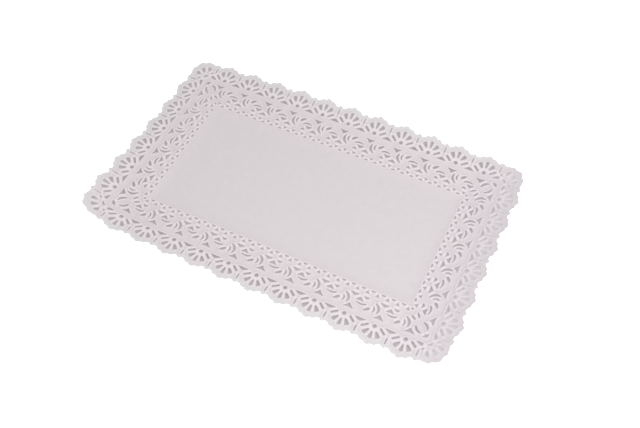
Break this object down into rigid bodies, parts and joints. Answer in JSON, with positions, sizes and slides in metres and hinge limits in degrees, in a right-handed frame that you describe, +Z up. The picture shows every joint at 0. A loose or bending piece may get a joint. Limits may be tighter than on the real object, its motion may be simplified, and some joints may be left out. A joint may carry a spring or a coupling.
{
  "type": "lace doily",
  "caption": "Rectangular embossed paper lace doily with a plain centre, a die-cut border of fans and sprays and a lightly lifted rim.",
  "frame": {"origin": "middle of the sheet's outline, on the surface it lies on", "axes": "+X along the long side, +Y along the short side, +Z up out of the sheet's face"},
  "size_m": [0.3248, 0.2012, 0.021],
  "materials": {
    "paper": "matt white embossed paper"
  },
  "bodies": {
    "root": {"doily": "paper"}
  },
  "joints": []
}
